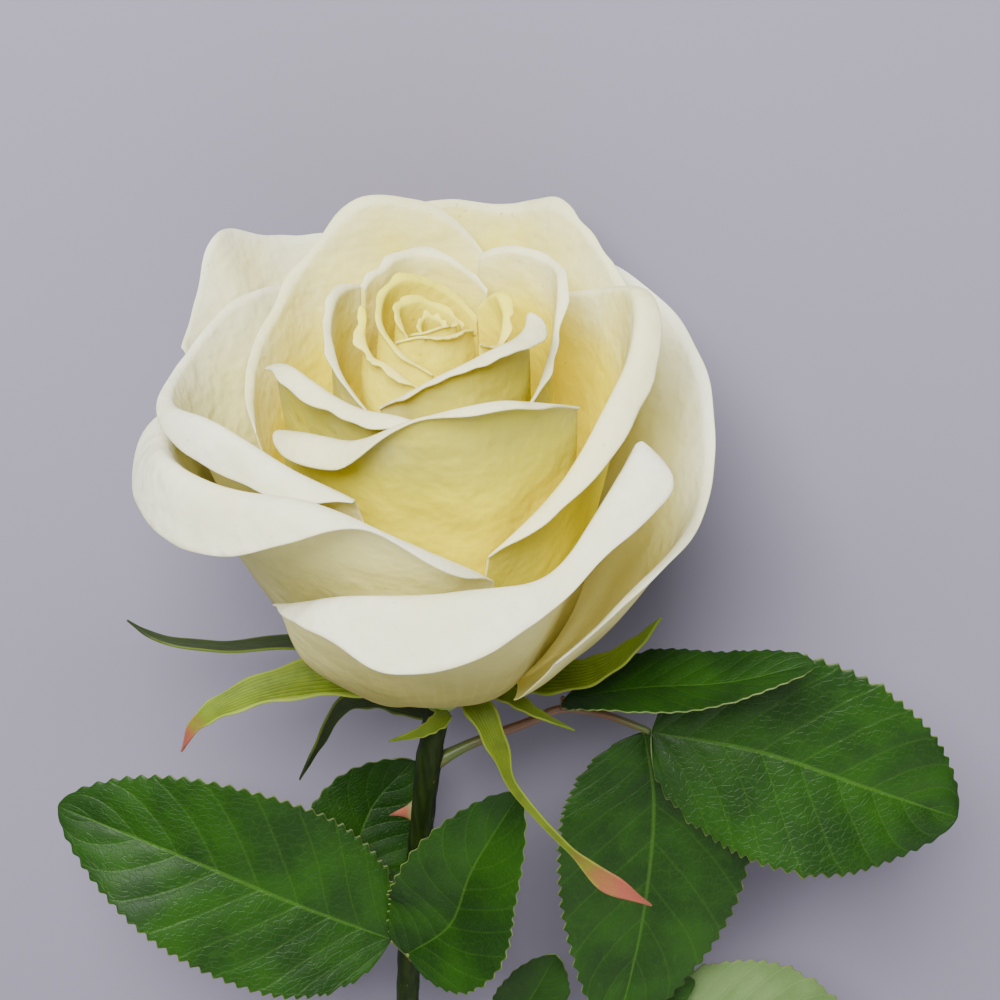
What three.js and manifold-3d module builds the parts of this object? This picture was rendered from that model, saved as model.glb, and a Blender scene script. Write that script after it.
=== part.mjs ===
// Cut rose, lying on its back: bloom towards +Y, cut end of the stem towards -Y, face of the bloom up.
// Millimetres. Everything is built in the flower's own frame, which the group at the end lays down:
// X to the flower's right, Y along the stem with 0 at the petal bases, Z towards its front.
import * as THREE from 'three';
import { mergeVertices } from 'three/addons/utils/BufferGeometryUtils.js';
import Module from 'manifold-3d';

const wasm = await Module();
wasm.setup();

// ---- driving dimensions ----
const lieAngle = 8.24;          // degrees that the stem rises from its cut end to the bloom
const petalThick = 0.5;
const petalGap = 1.3;           // between the middles of two neighbouring petals
const baseStart = [1.4, 9];     // radius and height where the innermost petal is attached
const baseStep = [0.22, -0.55]; // and how far each next petal is attached from there
const baseSpread = 0.34;        // width of a petal at its base, as a part of its full width
const rimSpread = 0.94;         // and at the fold and beyond
const rippleStart = 0.2;        // uneven rims: height of the ripple on the innermost petal
const rippleStep = 0.035;       // and how much it grows with each next petal
const lipLeast = 1;             // the lip is nowhere shorter than this
const cornerRound = 14;         // how squarely the lip ends at the sides of a petal
const mapStep = 3;              // degrees, cell of the map of space already taken
const mapTop = 84;
const fine = { across: 28, body: 24, lip: 6 };
const coarse = { across: 4, body: 4, lip: 2 };  // every fourth or second line of the fine grid is kept

const hipRadius = 6.1;
const hipBottom = -14;
const stemRadius = 2.4;
const stemRoute = [
  [-0.6, -14.3, 0], [-2.2, -24, 0], [-3.4, -34, 0], [-5, -51, 0], [-7, -73, 0], [-8.4, -94, 0],
  [-8.6, -130, 0.3], [-6, -180, 0], [-1, -225, -0.2], [3, -262, 0],
];
const cutSlant = 35;            // degrees, of the cut at the lower end
const prickles = [              // height along the stem, degrees round it from the front, length
  [-41, -95, 4.2], [-62, 80, 4.6], [-104, -60, 5.2], [-126, 70, 5.4], [-149, -80, 5.8], [-172, 55, 5.2],
  [-196, -50, 5.6], [-219, 75, 5.0],
];

// Petals, innermost first. turn and half are degrees round the stem, the middle and half the width.
// Lists run evenly spaced from the low-angle side to the high-angle side: radius and height of the fold,
// and length of the lip that rolls outwards beyond it. lean is the body's angle at the fold, lipTurn the
// angle that the lip turns to, roll how slowly it turns, belly how bowl-like the body is.
const petals = [
  {
    turn: 200, half: 140, lean: -14, belly: 2.2, roll: 0.6, lipTurn: 60,
    radius: [1.6, 2, 2.2], height: [64, 67, 64], lip: [0.5, 0.8, 0.5],
  },
  {
    turn: 20, half: 115, lean: -12, belly: 1.9, roll: 0.6, lipTurn: 80,
    radius: [3, 3.2, 3.4], height: [64, 67.5, 65], lip: [0.6, 1, 0.6],
  },
  {
    turn: -140, half: 105, lean: -10, belly: 1.7, roll: 0.7, lipTurn: 95,
    radius: [4.4, 4.2, 3.8, 4.2, 4.8], height: [64.5, 67, 69, 69.5, 66.5], lip: [0.8, 1.4, 0.8],
  },
  {
    turn: 22, half: 70, lean: -6, belly: 1.5, roll: 0.9, lipTurn: 105,
    radius: [4.8, 5, 5.5, 5.6, 6.2], height: [66.5, 68, 67.5, 67, 64.5], lip: [0.8, 1.2, 1.8, 1.4, 1],
  },
  {
    turn: 88, half: 52, lean: -4, belly: 1.4, roll: 1, lipTurn: 120,
    radius: [11.5, 11.5, 11.5, 10.5, 10], height: [68, 66, 68, 69.5, 65], lip: [1, 1.4, 2.2, 2.4, 1.2],
  },
  {
    turn: -108, half: 116, lean: -5, belly: 1.3, roll: 1, lipTurn: 115,
    radius: [9, 8.5, 7.6, 7, 6.8, 7, 7.6], height: [61.5, 68.5, 71, 71.5, 70.5, 67, 62.5],
    lip: [1.2, 2, 1.6, 1.4, 1.8, 2, 1.6],
  },
  {
    turn: -55, half: 48, lean: -4, belly: 1.2, roll: 1, lipTurn: 125,
    radius: [11.5, 10.2, 9.4, 9.4, 10.5], height: [68.5, 66, 65, 64, 62], lip: [1.2, 2, 1.6, 2.2, 1.2],
  },
  {
    turn: 22, half: 62, lean: -2, belly: 1.15, roll: 1.4, lipTurn: 130,
    radius: [13, 14.5, 16, 16.5, 15], height: [57, 64, 68.5, 69.5, 70], lip: [1.2, 2.4, 2.8, 4, 5.5],
  },
  {
    turn: 194, half: 56, lean: 0, belly: 1.15, roll: 1.2, lipTurn: 110,
    radius: [11, 13.5, 14.5, 12.5, 12.5], height: [66.5, 70, 71.5, 72, 69.5],
    lip: [1.2, 1.6, 2.2, 1.6, 1.2],
  },
  {
    turn: -80, half: 54, lean: 0, belly: 1.1, roll: 1.2, lipTurn: 110,
    radius: [16, 17, 17.6], height: [68, 67, 57], lip: [1, 1.6, 1.2],
  },
  {
    turn: 105, half: 58, lean: 2, belly: 1.05, roll: 1.3, lipTurn: 110,
    radius: [17, 18, 19.5, 20.5, 22.5, 21, 20.5], height: [57, 60, 64.5, 69.5, 70.5, 71, 68.5],
    lip: [1, 1.5, 1.8, 2.2, 1.5, 1.8, 3],
  },
  {
    turn: -42, half: 50, lean: 4, belly: 0.95, roll: 1.6, lipTurn: 145,
    radius: [26, 23.5, 22, 23, 24], height: [58.5, 64, 62.5, 63.5, 61], lip: [3, 4.5, 4, 3.5, 3],
  },
  {
    turn: -5, half: 67, lean: 3, belly: 0.9, roll: 1.9, lipTurn: [145, 150, 145, 140, 140, 140, 140],
    radius: [27, 26, 25, 26.5, 29, 27.5, 27], height: [53, 56.5, 59, 65.5, 69, 64.5, 59.5],
    lip: [3.5, 7, 6, 1.8, 3.4, 3.2, 1.8],
  },
  {
    turn: -140, half: 58, lean: 14, belly: 0.8, roll: 2.2, lipTurn: 110,
    radius: [34, 35, 35.5, 36.5, 34, 31.5, 29.5], height: [60.5, 68.5, 71, 61.5, 55.5, 51, 47.5],
    lip: [1.5, 2, 2.5, 2, 2, 1.8, 1.6],
  },
  {
    turn: 76, half: 64, lean: 8, belly: 0.82, roll: 2, lipTurn: 145,
    radius: [31, 30, 30.5, 31.5, 32.5, 31, 30], height: [41.5, 49, 56.5, 62.5, 69, 65, 59.5],
    lip: [1.5, 4, 6, 6.5, 4.5, 2.5, 1.5],
  },
  {
    turn: 150, half: 44, lean: 16, belly: 0.75, roll: 2.4, lipTurn: 110,
    radius: [36, 36, 37.5, 39.5, 41.5, 39, 37], height: [59, 64, 67, 70, 66, 68, 66],
    lip: [2, 2.4, 2, 2.6, 2.4, 2, 2],
  },
  {
    turn: -82, half: 66, lean: 22, belly: 0.68, roll: 1.8, lipTurn: [120, 120, 120, 150, 160, 160, 160],
    radius: [40, 40.5, 42.5, 42.5, 38, 34, 33], height: [54.5, 58, 54, 56, 59, 56, 53.5],
    lip: [1.5, 1.5, 1.5, 3, 8.5, 6.5, 3],
  },
  {
    turn: -42, half: 62, lean: 22, belly: 0.7, roll: [4.4, 3, 2.4, 2.6, 2.6, 2.4, 2.2],
    lipTurn: [145, 160, 165, 160, 155, 145, 140],
    radius: [43.5, 43, 41.5, 40, 40, 38, 35], height: [45, 49.5, 54, 55, 56, 50.5, 40],
    lip: [3, 8, 12, 13, 13, 9, 2, 4, 2.5],
  },
  {
    turn: 8, half: 60, lean: 22, belly: 0.68, roll: [2.2, 2.6, 2.6, 2.6, 2.4, 2.6, 4.5],
    lipTurn: [150, 150, 145, 140, 140, 135, 140],
    radius: [34.5, 36, 37.5, 38, 39, 36.5, 35.5], height: [27.5, 35, 39.5, 41.5, 42.5, 49, 53.5],
    lip: [0.8, 5, 9.5, 14.5, 13.5, 7.5, 6, 9, 18],
  },
  {
    turn: 90, half: 60, lean: 28, belly: 0.66, roll: 2.6, lipTurn: 105,
    radius: [34, 39.5, 44, 45.5, 45.5, 44, 42], height: [19.5, 29.5, 35, 41.5, 51, 56.5, 59.5],
    lip: [1.5, 2.5, 2.6, 2.4, 2.4, 2, 2],
  },
  {
    turn: -138, half: 31, lean: 30, belly: 0.62, roll: 2.6, lipTurn: 95,
    radius: [45, 47, 48.5, 49, 48.5, 47, 45], height: [60, 59.5, 60.5, 62, 65.5, 58, 53.5],
    lip: [1.5, 1.6, 1.8, 2, 1.6, 1.2, 1],
  },
  {
    turn: 178, half: 50, lean: 32, belly: 0.62, roll: 2.6, lipTurn: 120,
    radius: [42, 43, 44.5, 43, 42], height: [46, 53, 56, 52, 48], lip: [2, 3, 4, 3, 2],
  },
];

// Sepals: the route of the middle line, from the hip to the tip.
const sepalWidth = 8.4;
const sepalThick = 0.7;
const sepalFold = 14;
const sepals = {
  sepal_left_front: {
    route: [[-6.4, -3.8, 3], [-14.4, -2.6, 4.6], [-28, -2.6, 7.5], [-38.5, -5.4, 10],
      [-43.5, -8.6, 11.5], [-46.6, -14.6, 12]],
    facing: [-0.1, 0.8, 0.6], width: 1.2,
  },
  sepal_left_back: {
    route: [[-5.6, -4.2, -4.4], [-14, -4.6, -6], [-26, -5.6, -8], [-42, -8.4, -10],
      [-53.9, -7.5, -12], [-59, -4.2, -13]],
    facing: [0, 0.9, 0.15], width: 0.85,
  },
  sepal_right: {
    route: [[7, -4.2, -0.8], [17, -7, 0], [27, -2.7, 4], [34.6, 5.2, 6], [38.8, 12.3, 7]],
    facing: [-0.3, 0.8, 0.6], width: 1.15,
  },
  sepal_front: {
    route: [[3.6, -3.9, 6.2], [7, -6, 10], [10.2, -11, 14], [12.9, -18, 17], [21.5, -27.7, 21],
      [29.8, -35.7, 23], [38.5, -41.4, 24]],
    facing: [0.1, 0.35, 0.9], width: 0.72,
  },
  sepal_right_front: {
    route: [[6.2, -4.6, 3.6], [11.6, -6.4, 5.6], [17, -8.7, 8], [24.3, -12.5, 8.6]],
    facing: [0.2, 0.8, 0.5], width: 0.62,
  },
};
const bracts = {
  bract_back: {
    route: [[-4.4, -17, -2.4], [-11, -17.4, -6.5], [-18.6, -21, -9], [-24.7, -34.4, -12],
      [-29, -44.6, -13]],
    facing: [0.5, 0.3, 0.8], width: 0.85,
  },
  bract_front: {
    route: [[2.8, -11.8, 6.2], [-3, -14.4, 6.4], [-9.8, -17.6, 6]],
    facing: [0, 0.5, 0.85], width: 0.5,
  },
};

// Compound leaves: the route of the stalk, and each leaflet with its route from base to tip, its width,
// the way its upper face looks, and the angle that its halves are folded up by.
const stalkRadius = 0.85;
const leafletThick = 0.6;
const leaves = {
  leaf_right: {
    stalk: [[0.5, -27.4, 0], [5.1, -24.9, -1.6], [16.4, -21, -3.6], [22, -19, -4.8], [29.5, -19.4, -4],
      [38, -21.2, -1.4]],
    leaflets: {
      leaf_right_end: {
        route: [[39, -21.5, -1.2], [59, -23.5, 2], [79.8, -30, 5], [97, -37, 5.5]],
        width: 41, facing: [0, 0.42, 0.9], fold: 6,
      },
      leaf_right_front: {
        route: [[37.8, -23.4, -3.2], [40, -38, 0], [38.5, -62, 7], [34, -88, 13]],
        width: 38, facing: [0.1, 0.12, 0.98], fold: 8,
      },
      leaf_right_back: {
        route: [[22.4, -15, -2.6], [36, -8.4, 2], [52, -4.5, 5], [67, 0, 5]],
        width: 20, facing: [0, 0.99, -0.08], fold: 10,
      },
    },
  },
  leaf_left: {
    stalk: [[-6.2, -77, 3.2], [-7.6, -73.5, 5.6], [-9.6, -69, 7]],
    leaflets: {
      leaf_left_end: {
        route: [[-10.6, -67.8, 7.4], [-28.3, -58.8, 7], [-50.9, -48.3, 4], [-74.8, -42, -3]],
        width: 39, facing: [-0.1, 0.5, 0.86], fold: 8,
      },
      leaf_left_front: {
        route: [[-7.6, -71, 8.4], [1, -60.5, 10.6], [5.6, -45, 11], [14.5, -28, 8]],
        width: 26, facing: [-0.35, 0.3, 0.88], fold: 22,
      },
      leaf_left_back: {
        route: [[-13.8, -69.8, 2.4], [-18.2, -62.2, -5.8], [-15.4, -53, -13.2], [-6.6, -43.8, -18]],
        width: 25, facing: [0.2, 0.42, 0.88], fold: 6,
      },
    },
  },
  leaf_low: {
    stalk: [[-5.4, -115, 0.8], [8, -105, 3], [25, -98, 5], [42, -93, 6]],
    leaflets: {
      leaf_low_end: {
        route: [[43.3, -92.8, 6], [56, -93.5, 5.6], [70, -97, 4.4], [84, -104, 1]],
        width: 27, facing: [0, -0.3, -0.95], fold: 8,
      },
      leaf_low_up_1: {
        route: [[14.2, -100.4, 3.6], [16, -93, 2.5], [19, -86, 2], [22, -79, 1]],
        width: 15, facing: [0, 0.25, 0.97], fold: 8,
      },
      leaf_low_up_2: {
        route: [[32, -93.6, 6.6], [37.5, -88.6, 6.6], [43.5, -85, 6], [50, -82.6, 4.6]],
        width: 12, facing: [0, 0.3, 0.95], fold: 8,
      },
      leaf_low_down_1: {
        route: [[14.4, -104.4, 3.8], [18, -113, 5], [23, -123, 5], [28, -135, 2]],
        width: 21, facing: [0, 0.1, 1], fold: 8,
      },
      leaf_low_down_2: {
        route: [[31.4, -98.4, 5.6], [36, -107, 6.5], [42, -117, 6], [49, -129, 3]],
        width: 21, facing: [0, 0.1, 1], fold: 8,
      },
    },
  },
};

const colours = {
  petalCream: 0xf1eecf,
  hipGreen: 0x7f9a4a,
  sepalGreen: 0x86a14c,
  stemGreen: 0x4f7a35,
  stalkBrown: 0x7a5a3a,
  leafGreen: 0x2f6b2a,
};

// ---- helpers ----
const radians = THREE.MathUtils.degToRad;

function ease(value) {
  const t = THREE.MathUtils.clamp(value, 0, 1);
  return t * t * (3 - 2 * t);
}

// value at u from -1 to 1 of the smooth curve through evenly spaced values; a single value holds all over
function across(values, u) {
  if (!Array.isArray(values)) {
    return values;
  }
  const last = values.length - 1;
  const start = 3 * values[0] - 3 * values[1] + values[2];
  const end = 3 * values[last] - 3 * values[last - 1] + values[last - 2];
  const padded = [start, ...values, end];
  const spot = ((u + 1) / 2) * last;
  const i = THREE.MathUtils.clamp(Math.floor(spot), 0, last - 1);
  const t = spot - i;
  const [a, b, c, d] = padded.slice(i, i + 4);
  return b + (t / 2) * (c - a + t * (2 * a - 5 * b + 4 * c - d + t * (3 * (b - c) + d - a)));
}

function emptyGrid(rows, columns, value = 0) {
  return Array.from({ length: rows }, () => new Array(columns).fill(value));
}

function passAcross(grid, mix) {
  const last = grid[0].length - 1;
  const mixed = (row, k) => mix(row[Math.max(k - 1, 0)], row[k], row[Math.min(k + 1, last)]);
  return grid.map((row) => row.map((_, k) => mixed(row, k)));
}

function passAlong(grid, mix) {
  const last = grid.length - 1;
  return grid.map((row, j) => {
    const before = grid[Math.max(j - 1, 0)];
    const after = grid[Math.min(j + 1, last)];
    return row.map((value, k) => mix(before[k], value, after[k]));
  });
}

const widest = (before, value, after) => Math.max(before, value, after);
const softened = (before, value, after) => (before + 2 * value + after) / 4;

function repeated(times, grid, pass, mix) {
  let result = grid;
  for (let n = 0; n < times; n += 1) {
    result = pass(result, mix);
  }
  return result;
}

function makeMesh(name, geometry, colour, roughness) {
  const material = new THREE.MeshStandardMaterial({ color: colour, roughness, metalness: 0 });
  const mesh = new THREE.Mesh(geometry, material);
  mesh.name = name;
  return mesh;
}

// the way that a line of points runs at one of them, halfway between its two stretches
function heading(before, here, after) {
  return here.clone().sub(before).normalize().add(after.clone().sub(here).normalize());
}

// Closed shell round a grid of points: rows run along the piece, columns across it from left to right
// as seen from outside. The thickness may change from row to row.
function shell(points, thicknessAt) {
  const rows = points.length - 1;
  const columns = points[0].length - 1;
  const geometry = new THREE.BoxGeometry(columns, rows, 1, columns, rows, 1);
  geometry.deleteAttribute('normal');
  geometry.deleteAttribute('uv');
  // the box's last side, its back, has its squares split the other way than its front: they are made alike
  const corners = geometry.index.array;
  const back = geometry.groups[geometry.groups.length - 1];
  for (let n = back.start; n < back.start + back.count; n += 6) {
    const [a, b, d, , c] = corners.slice(n, n + 6);
    corners.set([a, b, c, a, c, d], n);
  }
  const place = geometry.attributes.position;
  for (let n = 0; n < place.count; n += 1) {
    const k = Math.round(place.getX(n) + columns / 2);
    const j = Math.round(place.getY(n) + rows / 2);
    const here = points[j][k];
    const right = heading(points[j][Math.max(k - 1, 0)], here, points[j][Math.min(k + 1, columns)]);
    const along = heading(points[Math.max(j - 1, 0)][k], here, points[Math.min(j + 1, rows)][k]);
    const outward = right.cross(along).normalize();
    const moved = here.clone().addScaledVector(outward, place.getZ(n) * thicknessAt(j / rows));
    place.setXYZ(n, moved.x, moved.y, moved.z);
  }
  const merged = mergeVertices(geometry, 1e-5);
  merged.computeVertexNormals();
  return merged;
}

function solidOf(geometry) {
  const bare = geometry.clone();
  bare.deleteAttribute('normal');
  bare.deleteAttribute('uv');
  const merged = mergeVertices(bare, 1e-4);
  return new wasm.Manifold(new wasm.Mesh({
    numProp: 3,
    vertProperties: new Float32Array(merged.attributes.position.array),
    triVerts: new Uint32Array(merged.index.array),
  }));
}

function geometryOf(solid) {
  const mesh = solid.getMesh();
  const geometry = new THREE.BufferGeometry();
  geometry.setAttribute('position', new THREE.BufferAttribute(mesh.vertProperties, 3));
  geometry.setIndex(new THREE.BufferAttribute(mesh.triVerts, 1));
  geometry.computeVertexNormals();
  return geometry;
}

function curveThrough(route) {
  return new THREE.CatmullRomCurve3(route.map((point) => new THREE.Vector3(...point)));
}

function tube(route, radius, sides, steps) {
  const outline = new THREE.Shape();
  outline.absarc(0, 0, radius, 0, Math.PI * 2);
  const extrudePath = curveThrough(route);
  return new THREE.ExtrudeGeometry(outline, { steps, curveSegments: sides, extrudePath });
}

// ---- petals ----
// A petal's surface as rows of { angle, radius, height }: the body up to the fold, then the lip.
function petalSurface(petal, index) {
  const rows = [];
  const base = { radius: baseStart[0] + baseStep[0] * index, height: baseStart[1] + baseStep[1] * index };
  const ripple = rippleStart + rippleStep * index;
  const columns = Array.from({ length: fine.across + 1 }, (_, k) => {
    const u = (2 * k) / fine.across - 1;
    const lip = Math.max(lipLeast, across(petal.lip, u) * (1 - Math.abs(u) ** cornerRound));
    return {
      u,
      lean: radians(across(petal.lean, u)),
      lipTurn: radians(across(petal.lipTurn, u)),
      roll: across(petal.roll, u),
      radius: across(petal.radius, u) + 0.6 * ripple * Math.sin(4.3 * u + 1.3 * index),
      height: across(petal.height, u)
        + ripple * (0.6 * Math.sin(5.1 * u + 1.9 * index) + 0.4 * Math.sin(9.3 * u + 0.7 * index)),
      lip,
    };
  });
  for (let j = 0; j <= fine.body; j += 1) {
    const v = j / fine.body;
    const weights = [(1 - v) ** 3, 3 * v * (1 - v) ** 2, 3 * v * v * (1 - v), v ** 3];
    const narrowing = 1 - (1 - rimSpread) * ease((v - 0.7) / 0.3);
    const spread = (baseSpread + (1 - baseSpread) * ease(v / 0.55)) * narrowing;
    rows.push(columns.map((column) => {
      const back = 0.5 * (column.height - base.height);
      const below = column.radius - back * Math.sin(column.lean);
      const radii = [base.radius, petal.belly * column.radius, below, column.radius];
      const lower = column.height - back * Math.cos(column.lean);
      const heights = [base.height, base.height + 0.5, lower, column.height];
      return {
        angle: petal.turn + column.u * petal.half * spread,
        radius: weights.reduce((sum, weight, n) => sum + weight * radii[n], 0),
        height: weights.reduce((sum, weight, n) => sum + weight * heights[n], 0),
      };
    }));
  }
  const stepsPerRow = 6;
  for (let j = 1; j <= fine.lip; j += 1) {
    rows.push(columns.map((column, k) => {
      let { radius, height } = rows[rows.length - 1][k];
      const step = column.lip / fine.lip / stepsPerRow;
      for (let n = 0; n < stepsPerRow; n += 1) {
        const along = ((j - 1 + (n + 0.5) / stepsPerRow) / fine.lip) * column.lip;
        const turned = 1 - Math.exp(-along / column.roll);
        const slope = column.lean + (column.lipTurn - column.lean) * turned;
        radius += Math.sin(slope) * step;
        height += Math.cos(slope) * step;
      }
      return { angle: petal.turn + column.u * petal.half * rimSpread, radius, height };
    }));
  }
  return rows;
}

const mapTurns = 360 / mapStep;
const wrapped = (cell) => ((cell % mapTurns) + mapTurns) % mapTurns;

// largest radius taken at an angle and a height, between the four cells around it
function takenAt(taken, angle, height) {
  const turn = angle / mapStep;
  const left = Math.floor(turn);
  const level = Math.min(Math.max(height, 0), mapTop - 1.001);
  const low = Math.floor(level);
  const sideways = turn - left;
  const upwards = level - low;
  const at = (cell, row) => taken[wrapped(cell)][row];
  const lower = at(left, low) * (1 - sideways) + at(left + 1, low) * sideways;
  const upper = at(left, low + 1) * (1 - sideways) + at(left + 1, low + 1) * sideways;
  return lower * (1 - upwards) + upper * upwards;
}

// moves a petal outwards until it clears all that is taken, smoothly, with its base where it is
function clearInner(surface, taken) {
  const body = surface.slice(0, fine.body + 1);
  let push = body.map((row) => row.map((point) => {
    const need = takenAt(taken, point.angle, point.height);
    return need > 0 ? Math.max(0, need + petalGap - point.radius) : 0;
  }));
  push = repeated(3, push, passAlong, widest);
  push = repeated(2, push, passAcross, widest);
  push = repeated(8, push, passAlong, softened);
  push = repeated(5, push, passAcross, softened);
  surface.forEach((row, j) => {
    const shift = push[Math.min(j, fine.body)];
    const share = ease((j / fine.body - 0.06) / 0.25);
    row.forEach((point, k) => {
      point.radius += shift[k] * share;
    });
  });
}

function markTaken(surface, taken) {
  const parts = 4;
  const marks = emptyGrid(mapTurns, mapTop);
  for (let j = 0; j < surface.length - 1; j += 1) {
    for (let k = 0; k < fine.across; k += 1) {
      const corners = [surface[j][k], surface[j][k + 1], surface[j + 1][k], surface[j + 1][k + 1]];
      for (let a = 0; a <= parts; a += 1) {
        for (let b = 0; b <= parts; b += 1) {
          const [up, right] = [a / parts, b / parts];
          const shares = [(1 - up) * (1 - right), (1 - up) * right, up * (1 - right), up * right];
          const mean = (key) => corners.reduce((sum, corner, n) => sum + shares[n] * corner[key], 0);
          const cell = wrapped(Math.round(mean('angle') / mapStep));
          const level = Math.min(Math.max(Math.round(mean('height')), 0), mapTop - 1);
          marks[cell][level] = Math.max(marks[cell][level], mean('radius'));
        }
      }
    }
  }
  const spread = passAcross(marks, widest);
  spread.forEach((column, cell) => {
    column.forEach((radius, level) => {
      const sides = Math.max(spread[wrapped(cell - 1)][level], radius, spread[wrapped(cell + 1)][level]);
      taken[cell][level] = Math.max(taken[cell][level], sides);
    });
  });
}

function petalPoint({ angle, radius, height }) {
  return new THREE.Vector3(radius * Math.sin(radians(angle)), height, radius * Math.cos(radians(angle)));
}

function petalMeshes() {
  const taken = emptyGrid(mapTurns, mapTop);
  return petals.map((petal, index) => {
    const surface = petalSurface(petal, index);
    if (index > 0) {
      clearInner(surface, taken);
    }
    markTaken(surface, taken);
    const isKept = (j) => (j <= fine.body ? j % coarse.body === 0 : (j - fine.body) % coarse.lip === 0);
    const kept = surface.filter((_, j) => isKept(j));
    const points = kept.map((row) => row.filter((_, k) => k % coarse.across === 0).map(petalPoint));
    const thickness = (v) => petalThick * (0.6 + 0.4 * ease(v / 0.2));
    const name = `petal_${String(index + 1).padStart(2, '0')}`;
    return makeMesh(name, shell(points, thickness), colours.petalCream, 0.75);
  });
}

// ---- hip, sepals and leaves ----
// The hip swells below the petals, and the dome above it carries their bases.
function hipMesh() {
  const inside = 0.95;          // the dome stays this far within the petal bases
  const topRadius = baseStart[0] - inside;
  const lowest = petals.length - 1;
  const rim = [baseStart[0] + baseStep[0] * lowest - inside, baseStart[1] + baseStep[1] * lowest];
  const swelling = [[stemRadius + 0.1, hipBottom], [3.6, -12.4], [5.3, -9.8], [hipRadius, -7], [5.9, -4.6]];
  const dome = [rim, [topRadius, baseStart[1]], [0, baseStart[1] + 0.5]];
  const profile = [[0, hipBottom], ...swelling, ...dome];
  const outline = profile.map(([radius, height]) => new THREE.Vector2(radius, height));
  const geometry = new THREE.LatheGeometry(outline, 20);
  return makeMesh('hip', mergeVertices(geometry), colours.hipGreen, 0.6);
}

// A leaf-like blade along a route. outline gives half the width as a part of the full half width.
function blade({ route, facing, width, fold, thick, columns, rows, outline }) {
  const curve = curveThrough(route);
  const face = new THREE.Vector3(...facing).normalize();
  const lift = Math.tan(radians(fold));
  const points = [];
  for (let j = 0; j <= rows; j += 1) {
    const v = j / rows;
    const centre = curve.getPoint(v);
    const right = curve.getTangent(v).cross(face).normalize();
    const up = right.clone().cross(curve.getTangent(v)).normalize();
    const half = (width / 2) * outline(v);
    points.push(Array.from({ length: columns + 1 }, (_, k) => {
      const u = (2 * k) / columns - 1;
      return centre.clone().addScaledVector(right, u * half).addScaledVector(up, Math.abs(u) * half * lift);
    }));
  }
  return shell(points, () => thick);
}

const sepalOutline = (v) => Math.max(0.05, (0.5 + 0.5 * ease(v / 0.18)) * (1 - v) ** 0.9);
const leafletOutline = (v) => Math.max(0.03, Math.sin(Math.PI * v ** 0.82) ** 0.6);

function bladeMeshes(table, fullWidth, thick, colour) {
  return Object.entries(table).map(([name, { route, facing, width }]) => {
    const size = { width: fullWidth * width, fold: sepalFold, thick };
    const shape = { route, facing, ...size, columns: 2, rows: 9, outline: sepalOutline };
    return makeMesh(name, blade(shape), colour, 0.6);
  });
}

function leafMeshes() {
  const meshes = [];
  Object.entries(leaves).forEach(([name, { stalk, leaflets }]) => {
    meshes.push(makeMesh(`${name}_stalk`, tube(stalk, stalkRadius, 8, 10), colours.stalkBrown, 0.5));
    Object.entries(leaflets).forEach(([leafletName, { route, facing, width, fold }]) => {
      const grid = { columns: 4, rows: 8, outline: leafletOutline };
      const shape = { route, facing, width, fold, thick: leafletThick, ...grid };
      meshes.push(makeMesh(leafletName, blade(shape), colours.leafGreen, 0.35));
    });
  });
  return meshes;
}

// ---- stem with its prickles and its slanted cut ----
function stemMesh() {
  const curve = curveThrough(stemRoute);
  let solid = solidOf(tube(stemRoute, stemRadius, 12, 34));
  prickles.forEach(([height, turn, length]) => {
    const share = (stemRoute[0][1] - height) / (stemRoute[0][1] - stemRoute[stemRoute.length - 1][1]);
    const centre = curve.getPointAt(THREE.MathUtils.clamp(share, 0, 1));
    const outward = new THREE.Vector3(Math.sin(radians(turn)), -0.25, Math.cos(radians(turn))).normalize();
    const prickle = new THREE.ConeGeometry(1, length + stemRadius, 6, 1);
    prickle.scale(0.8, 1, 2.2);
    prickle.translate(0, (length + stemRadius) / 2, 0);
    prickle.applyQuaternion(new THREE.Quaternion().setFromUnitVectors(new THREE.Vector3(0, 1, 0), outward));
    prickle.translate(centre.x, centre.y, centre.z);
    solid = solid.add(solidOf(prickle));
  });
  const end = new THREE.Vector3(...stemRoute[stemRoute.length - 1]);
  const waste = new THREE.BoxGeometry(30, 20, 30);
  waste.translate(0, -10, 0);
  waste.rotateX(radians(cutSlant));
  waste.translate(end.x, end.y + stemRadius * Math.tan(radians(cutSlant)), end.z);
  solid = solid.subtract(solidOf(waste));
  return makeMesh('stem', geometryOf(solid), colours.stemGreen, 0.45);
}

// ---- the whole rose, laid on its back ----
const rose = new THREE.Group();
rose.add(...petalMeshes(), hipMesh());
rose.add(...bladeMeshes(sepals, sepalWidth, sepalThick, colours.sepalGreen));
rose.add(...bladeMeshes(bracts, sepalWidth, sepalThick, colours.leafGreen));
rose.add(stemMesh(), ...leafMeshes());
rose.rotation.x = radians(lieAngle);

const group = new THREE.Group();
group.add(rose);
group.updateMatrixWorld(true);
const box = new THREE.Box3().setFromObject(group, true);
const middle = box.getCenter(new THREE.Vector3());
rose.position.set(-middle.x, -middle.y, -box.min.z);

export default group;
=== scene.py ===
import math
import bpy
import bmesh
import numpy as np
from mathutils import Matrix, Vector, noise


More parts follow.
